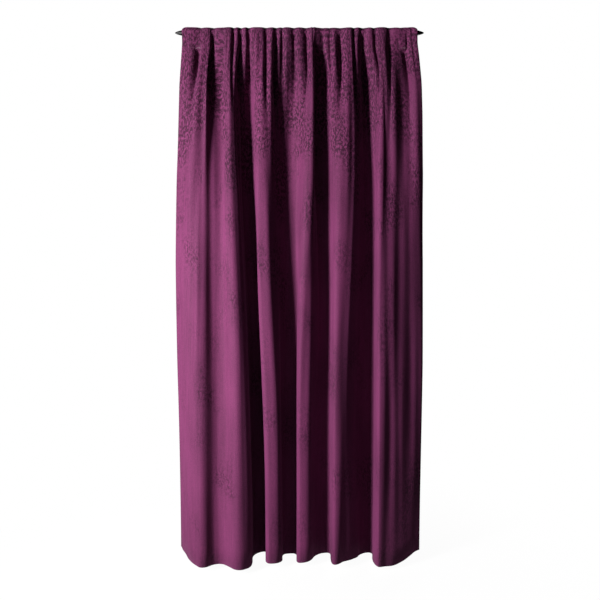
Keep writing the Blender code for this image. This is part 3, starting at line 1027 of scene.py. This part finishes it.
def floor_paint():
    """A pale matt floor that fades into the white backdrop away from the curtain. Only the camera
    sees it pale: it is darker to every other ray, so that it throws little light back up."""
    made, tree, shader, place = new_material("studio_floor", 0.95)
    shader.inputs["Base Color"].default_value = (0.88, 0.87, 0.87, 1)
    away = add(tree, "ShaderNodeVectorMath", {0: stretched(tree, place, (1, 1, 0))}, operation="LENGTH")
    plain = between(tree, away.outputs["Value"], 0.3, 1.6, 0.95, 1.0)
    backdrop = add(tree, "ShaderNodeEmission", {"Color": (1, 1, 1, 1), "Strength": 1.0})
    shown = add(tree, "ShaderNodeMixShader", {0: plain, 1: shader.outputs[0], 2: backdrop.outputs[0]})
    dull = add(tree, "ShaderNodeBsdfDiffuse", {"Color": (0.25, 0.25, 0.25, 1)})
    path = add(tree, "ShaderNodeLightPath")
    inputs = {0: path.outputs["Is Camera Ray"], 1: dull.outputs[0], 2: shown.outputs[0]}
    choose = add(tree, "ShaderNodeMixShader", inputs)
    tree.links.new(choose.outputs[0], tree.nodes["Material Output"].inputs["Surface"])
    return made


def make_floor():
    """A flat disc below the hem: rings of points at radius r and height z."""
    below_hem = 0.035
    radius = np.array([0.001, 1.0, 3.5])[:, None]
    turn = (np.arange(64) * 2 * np.pi / 64)[None, :]
    level = np.full((3, 64), HEM_Z - below_hem)
    points = np.stack([radius * np.cos(turn), radius * np.sin(turn), level], axis=-1)
    add_mesh("floor", points, grid_faces(3, 64, around=True, flip=True), floor_paint())


def make_stage():
    make_world()
    make_floor()
    mid_height = HEM_Z / 2
    area_light("key", (-2.6, -2.0, -0.98), (0.05, POLE_Y, mid_height), 0.6, 1.4, 312)
    area_light("front_fill", (0.5, -3.2, mid_height), (0, POLE_Y, mid_height), 2.0, 2.0, 2.2)
    area_light("back_light", (1.5, 2.5, mid_height), (0, 0, mid_height), 1.6, 2.0, 80)
    bpy.context.scene.view_settings.view_transform = "Standard"


# ---------------------------------------------------------------------------------------------
# Assembly
# ---------------------------------------------------------------------------------------------

make_camera()
make_stage()

crush_and_top_shade_group, lay, grain = pile_crush_and_top_shade_effect(), pile_lay_effect(), grain_effect()
weave, rubbed = weave_effect(), rubbed_edges_effect()
face = velvet_face(crush_and_top_shade_group, lay, grain)
ground = velvet_ground(weave, lay)
coat = black_powder_coat(grain, rubbed)
steel = blackened_steel(grain, rubbed)
thread = sewing_thread(grain)
satin = label_satin(weave, grain)


def hang(piece):
    """Let a piece of the curtain swing on the pole with the curtain's body, on a mesh of its own."""
    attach(piece, "curtain")
    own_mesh(piece)
    return piece


def mount(piece, body, slot, *nodes):
    """Let a piece ride on a body in place of the plain nodes that it covers."""
    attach(piece, body)
    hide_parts(*nodes)
    return piece


curtain = hang(make_curtain(face, ground))
folds = [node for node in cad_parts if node.startswith("fold_")]
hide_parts("rod_pocket", "side_hem_fixed", *folds)

seam_pitch, hem_pitch = 0.0034, 0.0060
seam_at = np.arange(0.006, FLAT_WIDTH - 0.006, seam_pitch) / FLAT_WIDTH
hem_at = np.arange(0.030, FLAT_WIDTH - 0.030, hem_pitch) / FLAT_WIDTH
side_run = np.arange(SEAM_RUN + 0.015, HEM_RUN - 0.004, hem_pitch)
left_at = (SIDE_HEM - HEM_INSET) / FLAT_WIDTH
right_at = (FLAT_WIDTH - SIDE_HEM + HEM_INSET) / FLAT_WIDTH
behind_hem = -(HEM_GAP + 0.0001)
thread_radius = 0.0004
seam_kind = (0.0, (1, 0), 0.0027, thread_radius)
hem_kind = (behind_hem, (1, 0), 0.0042, -thread_radius)
side_kind = (behind_hem, (0, 1), 0.0042, -thread_radius)
rows_of_stitches = (
    ("seam_stitches", seam_at, SEAM_RUN, seam_kind),
    ("hem_stitches", hem_at, HEM_RUN - BOTTOM_HEM + HEM_INSET, hem_kind),
    ("side_hem_stitches_left", left_at, side_run, side_kind),
    ("side_hem_stitches_right", right_at, side_run, side_kind),
)
sewing = [
    make_stitches(name, *np.broadcast_arrays(across, run), *kind, thread)
    for name, across, run, kind in rows_of_stitches
]
for piece in sewing:
    hang(piece)

label = hang(make_label(satin))
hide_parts("care_label")

mount(make_pole(coat), "pole", "black_metal", "pole_tube")
for side, direction in (("left", -1), ("right", 1)):
    finial, lock_screw = f"finial_{side}", f"pole_lock_screw_{side}"
    mount(make_finial(side, direction, coat), finial, "black_metal", finial)
    mount(make_lock_screw(side, steel), lock_screw, "screw_steel", lock_screw)
    mount(make_grub_screw(side, steel), "wall_brackets", "screw_steel", f"arm_grub_screw_{side}")
    for node in (f"wall_plate_{side}", f"bracket_arm_{side}"):
        mount(eased_copy(node, coat), "wall_brackets", "black_metal", node)
